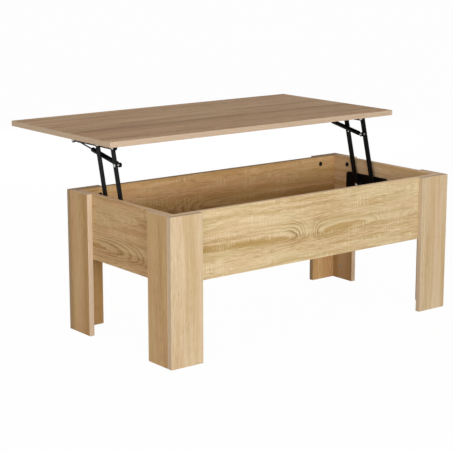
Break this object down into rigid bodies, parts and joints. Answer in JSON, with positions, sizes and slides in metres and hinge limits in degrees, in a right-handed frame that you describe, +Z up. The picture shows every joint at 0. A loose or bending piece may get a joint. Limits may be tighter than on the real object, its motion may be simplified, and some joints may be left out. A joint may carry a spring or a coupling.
{
  "type": "lift top coffee table",
  "caption": "Oak-finish board coffee table on corner legs: its lid rises and comes forward on sprung parallel arms, opening the storage box below.",
  "frame": {"origin": "middle of the four legs' footprint, on the floor", "axes": "+X along the table, +Y towards the side the raised lid comes out over, +Z up; stored with the lid raised"},
  "size_m": [1, 0.7415, 0.547],
  "materials": {
    "oak_melamine": "melamine faced board with a light sawn oak print",
    "oak_melamine_top": "melamine faced board with a greyer oak print",
    "hardboard": "thin printed fibreboard",
    "beech": "turned beech",
    "black_steel": "black powder coat",
    "zinc_steel": "bright zinc plate",
    "nylon": "moulded nylon"
  },
  "bodies": {
    "root": {"front_panel": "oak_melamine", "rear_panel": "oak_melamine", "left_end_panel": "oak_melamine", "right_end_panel": "oak_melamine", "bottom_panel": "hardboard", "front_left_leg_long_board": "oak_melamine", "front_left_leg_end_board": "oak_melamine", "front_right_leg_long_board": "oak_melamine", "front_right_leg_end_board": "oak_melamine", "rear_left_leg_long_board": "oak_melamine", "rear_left_leg_end_board": "oak_melamine", "rear_right_leg_long_board": "oak_melamine", "rear_right_leg_end_board": "oak_melamine", "leg_bolts": "black_steel", "corner_screws": "zinc_steel", "leg_cam_locks": "zinc_steel", "leg_cam_bolts": "zinc_steel", "leg_dowels": "beech", "left_base_plate": "black_steel", "right_base_plate": "black_steel", "base_plate_screws": "black_steel", "stop_pins": "black_steel", "base_pivot_washers": "nylon", "base_pivot_rivets": "zinc_steel"},
    "left_front_arm": {"left_front_arm": "black_steel", "left_spring_pin": "zinc_steel"},
    "left_rear_arm": {"left_rear_arm": "black_steel"},
    "right_front_arm": {"right_front_arm": "black_steel", "right_spring_pin": "zinc_steel"},
    "right_rear_arm": {"right_rear_arm": "black_steel"},
    "lid": {"lid_panel": "oak_melamine_top", "left_top_bracket": "black_steel", "right_top_bracket": "black_steel", "bracket_screws": "zinc_steel", "top_pivot_washers": "nylon", "top_pivot_rivets": "zinc_steel", "hanger_pins": "zinc_steel"},
    "left_spring": {"left_spring": "black_steel", "left_spring_eye": "black_steel", "left_spring_guide": "nylon"},
    "right_spring": {"right_spring": "black_steel", "right_spring_eye": "black_steel", "right_spring_guide": "nylon"},
    "left_spring_rod": {"left_spring_rod": "black_steel", "left_spring_socket": "nylon", "left_spring_piston": "zinc_steel"},
    "right_spring_rod": {"right_spring_rod": "black_steel", "right_spring_socket": "nylon", "right_spring_piston": "zinc_steel"}
  },
  "joints": [
    {"name": "lift", "type": "hinge", "parent": "root", "child": "left_front_arm", "pos_m": [-0.44575, 0.02309, 0.31445], "axis": [1, 0, 0], "range_deg": [0, 86.59]},
    {"name": "lid_pivot", "type": "hinge", "parent": "left_front_arm", "child": "lid", "pos_m": [-0.44575, 0.075, 0.52], "axis": [1, 0, 0], "range_deg": [-86.59, 0]},
    {"name": "left_rear_arm_pivot", "type": "hinge", "parent": "root", "child": "left_rear_arm", "pos_m": [-0.44575, 0.09509, 0.31445], "axis": [1, 0, 0], "range_deg": [0, 86.59]},
    {"name": "right_front_arm_pivot", "type": "hinge", "parent": "root", "child": "right_front_arm", "pos_m": [0.44575, 0.02309, 0.31445], "axis": [1, 0, 0], "range_deg": [0, 86.59]},
    {"name": "right_rear_arm_pivot", "type": "hinge", "parent": "root", "child": "right_rear_arm", "pos_m": [0.44575, 0.09509, 0.31445], "axis": [1, 0, 0], "range_deg": [0, 86.59]},
    {"name": "left_spring_swivel", "type": "hinge", "parent": "left_front_arm", "child": "left_spring", "pos_m": [-0.4325, 0.06325, 0.47346], "axis": [1, 0, 0], "range_deg": [-94.34, 0]},
    {"name": "left_spring_slide", "type": "slide", "parent": "left_spring", "child": "left_spring_rod", "axis": [0, -0.9818, -0.1898], "range_m": [0, 0.0612]},
    {"name": "right_spring_swivel", "type": "hinge", "parent": "right_front_arm", "child": "right_spring", "pos_m": [0.4325, 0.06325, 0.47346], "axis": [1, 0, 0], "range_deg": [-94.34, 0]},
    {"name": "right_spring_slide", "type": "slide", "parent": "right_spring", "child": "right_spring_rod", "axis": [0, -0.9818, -0.1898], "range_m": [0, 0.0612]}
  ],
  "couplings": [
    {"joint": "lid_pivot", "follows": "lift", "ratio": -1},
    {"joint": "left_rear_arm_pivot", "follows": "lift", "ratio": 1},
    {"joint": "right_front_arm_pivot", "follows": "lift", "ratio": 1},
    {"joint": "right_rear_arm_pivot", "follows": "lift", "ratio": 1},
    {"joint": "left_spring_swivel", "follows": "lift", "ratio": -1.0894},
    {"joint": "left_spring_slide", "follows": "lift", "m_per_rad": 0.040466},
    {"joint": "right_spring_swivel", "follows": "lift", "ratio": -1.0894},
    {"joint": "right_spring_slide", "follows": "lift", "m_per_rad": 0.040466}
  ]
}
